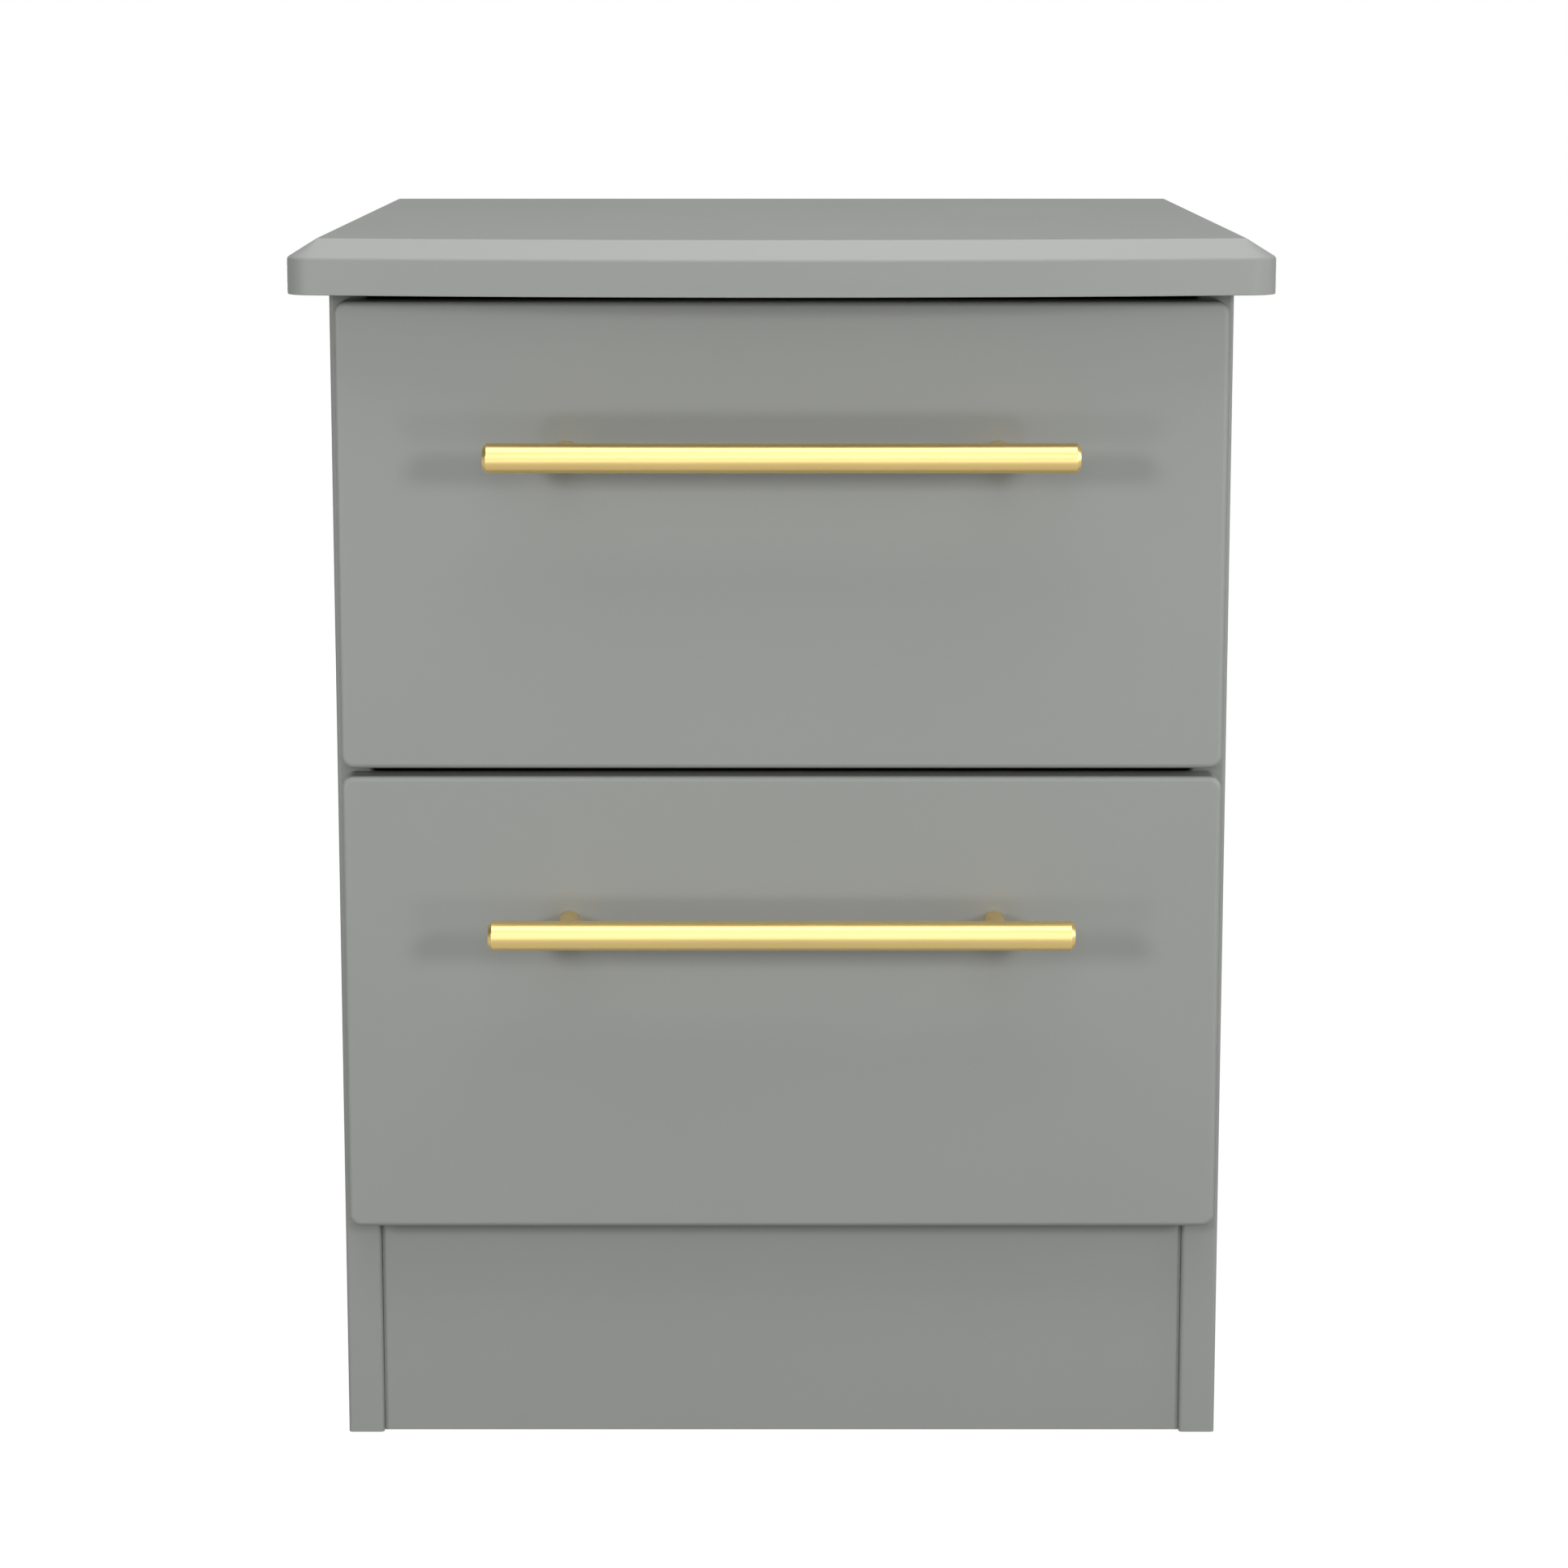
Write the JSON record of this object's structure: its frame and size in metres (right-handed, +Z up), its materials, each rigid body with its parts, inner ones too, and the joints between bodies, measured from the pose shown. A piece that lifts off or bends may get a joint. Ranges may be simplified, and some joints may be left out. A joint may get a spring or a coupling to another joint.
{
  "type": "nightstand",
  "caption": "Grey nightstand: bow-fronted bevelled top, plinth base and overlay drawers on roller runners, each with a brass T-bar handle.",
  "frame": {"origin": "on the floor, in the middle of the outer box", "axes": "+X to the right as seen from the front, +Y to the back, +Z up"},
  "size_m": [0.395, 0.4151, 0.505],
  "materials": {
    "grey_board": "matte",
    "grey_edging": "matte",
    "brass": "satin",
    "box_board": "matte",
    "backing_board": "matte",
    "coated_steel": "satin",
    "roller_plastic": "satin",
    "zinc": "satin",
    "dowel_wood": "matte"
  },
  "bodies": {
    "cabinet": {"top_panel": "grey_board", "left_side_panel": "grey_board", "right_side_panel": "grey_board", "left_front_edging": "grey_edging", "right_front_edging": "grey_edging", "bottom_panel": "grey_board", "plinth": "grey_board", "top_rear_rail": "grey_board", "back_panel": "backing_board", "cabinet_dowels": "dowel_wood", "cabinet_cam_bolts": "zinc", "cabinet_cam_locks": "zinc", "back_panel_screws": "zinc", "cabinet_runner_screws": "zinc", "cabinet_roller_pins": "zinc", "upper_left_cabinet_runner": "coated_steel", "upper_right_cabinet_runner": "coated_steel", "lower_left_cabinet_runner": "coated_steel", "lower_right_cabinet_runner": "coated_steel"},
    "upper_drawer": {"upper_drawer_front": "grey_board", "upper_drawer_left_side": "box_board", "upper_drawer_right_side": "box_board", "upper_drawer_back": "box_board", "upper_drawer_bottom": "backing_board", "upper_drawer_dowels": "dowel_wood", "upper_drawer_cam_bolts": "zinc", "upper_drawer_cam_locks": "zinc", "upper_drawer_back_screws": "zinc", "upper_drawer_runner_screws": "zinc", "upper_drawer_roller_pins": "zinc", "upper_handle_bar": "brass", "upper_handle_posts": "brass", "upper_handle_screws": "zinc", "upper_left_drawer_runner": "coated_steel", "upper_right_drawer_runner": "coated_steel"},
    "upper_left_cabinet_roller": {"upper_left_cabinet_roller": "roller_plastic"},
    "upper_left_drawer_roller": {"upper_left_drawer_roller": "roller_plastic"},
    "upper_right_cabinet_roller": {"upper_right_cabinet_roller": "roller_plastic"},
    "upper_right_drawer_roller": {"upper_right_drawer_roller": "roller_plastic"},
    "lower_drawer": {"lower_drawer_front": "grey_board", "lower_drawer_left_side": "box_board", "lower_drawer_right_side": "box_board", "lower_drawer_back": "box_board", "lower_drawer_bottom": "backing_board", "lower_drawer_dowels": "dowel_wood", "lower_drawer_cam_bolts": "zinc", "lower_drawer_cam_locks": "zinc", "lower_drawer_back_screws": "zinc", "lower_drawer_runner_screws": "zinc", "lower_drawer_roller_pins": "zinc", "lower_handle_bar": "brass", "lower_handle_posts": "brass", "lower_handle_screws": "zinc", "lower_left_drawer_runner": "coated_steel", "lower_right_drawer_runner": "coated_steel"},
    "lower_left_cabinet_roller": {"lower_left_cabinet_roller": "roller_plastic"},
    "lower_left_drawer_roller": {"lower_left_drawer_roller": "roller_plastic"},
    "lower_right_cabinet_roller": {"lower_right_cabinet_roller": "roller_plastic"},
    "lower_right_drawer_roller": {"lower_right_drawer_roller": "roller_plastic"}
  },
  "joints": [
    {"name": "upper_drawer_slide", "type": "slide", "parent": "cabinet", "child": "upper_drawer", "axis": [0, -1, 0], "range_m": [0, 0.225]},
    {"name": "upper_left_cabinet_roller_spin", "type": "hinge", "parent": "cabinet", "child": "upper_left_cabinet_roller", "pos_m": [-0.16355, -0.1385, 0.326], "axis": [1, 0, 0], "continuous": true},
    {"name": "upper_left_drawer_roller_spin", "type": "hinge", "parent": "upper_drawer", "child": "upper_left_drawer_roller", "pos_m": [-0.16355, 0.139, 0.3237], "axis": [1, 0, 0], "continuous": true},
    {"name": "upper_right_cabinet_roller_spin", "type": "hinge", "parent": "cabinet", "child": "upper_right_cabinet_roller", "pos_m": [0.16355, -0.1385, 0.326], "axis": [1, 0, 0], "continuous": true},
    {"name": "upper_right_drawer_roller_spin", "type": "hinge", "parent": "upper_drawer", "child": "upper_right_drawer_roller", "pos_m": [0.16355, 0.139, 0.3237], "axis": [1, 0, 0], "continuous": true},
    {"name": "lower_drawer_slide", "type": "slide", "parent": "cabinet", "child": "lower_drawer", "axis": [0, -1, 0], "range_m": [0, 0.225]},
    {"name": "lower_left_cabinet_roller_spin", "type": "hinge", "parent": "cabinet", "child": "lower_left_cabinet_roller", "pos_m": [-0.16355, -0.1385, 0.132], "axis": [1, 0, 0], "continuous": true},
    {"name": "lower_left_drawer_roller_spin", "type": "hinge", "parent": "lower_drawer", "child": "lower_left_drawer_roller", "pos_m": [-0.16355, 0.139, 0.1297], "axis": [1, 0, 0], "continuous": true},
    {"name": "lower_right_cabinet_roller_spin", "type": "hinge", "parent": "cabinet", "child": "lower_right_cabinet_roller", "pos_m": [0.16355, -0.1385, 0.132], "axis": [1, 0, 0], "continuous": true},
    {"name": "lower_right_drawer_roller_spin", "type": "hinge", "parent": "lower_drawer", "child": "lower_right_drawer_roller", "pos_m": [0.16355, 0.139, 0.1297], "axis": [1, 0, 0], "continuous": true}
  ],
  "couplings": [
    {"joint": "upper_left_cabinet_roller_spin", "follows": "upper_drawer_slide", "rad_per_m": 105.26},
    {"joint": "upper_left_drawer_roller_spin", "follows": "upper_drawer_slide", "rad_per_m": 105.26},
    {"joint": "upper_right_cabinet_roller_spin", "follows": "upper_drawer_slide", "rad_per_m": 105.26},
    {"joint": "upper_right_drawer_roller_spin", "follows": "upper_drawer_slide", "rad_per_m": 105.26},
    {"joint": "lower_left_cabinet_roller_spin", "follows": "lower_drawer_slide", "rad_per_m": 105.26},
    {"joint": "lower_left_drawer_roller_spin", "follows": "lower_drawer_slide", "rad_per_m": 105.26},
    {"joint": "lower_right_cabinet_roller_spin", "follows": "lower_drawer_slide", "rad_per_m": 105.26},
    {"joint": "lower_right_drawer_roller_spin", "follows": "lower_drawer_slide", "rad_per_m": 105.26}
  ]
}
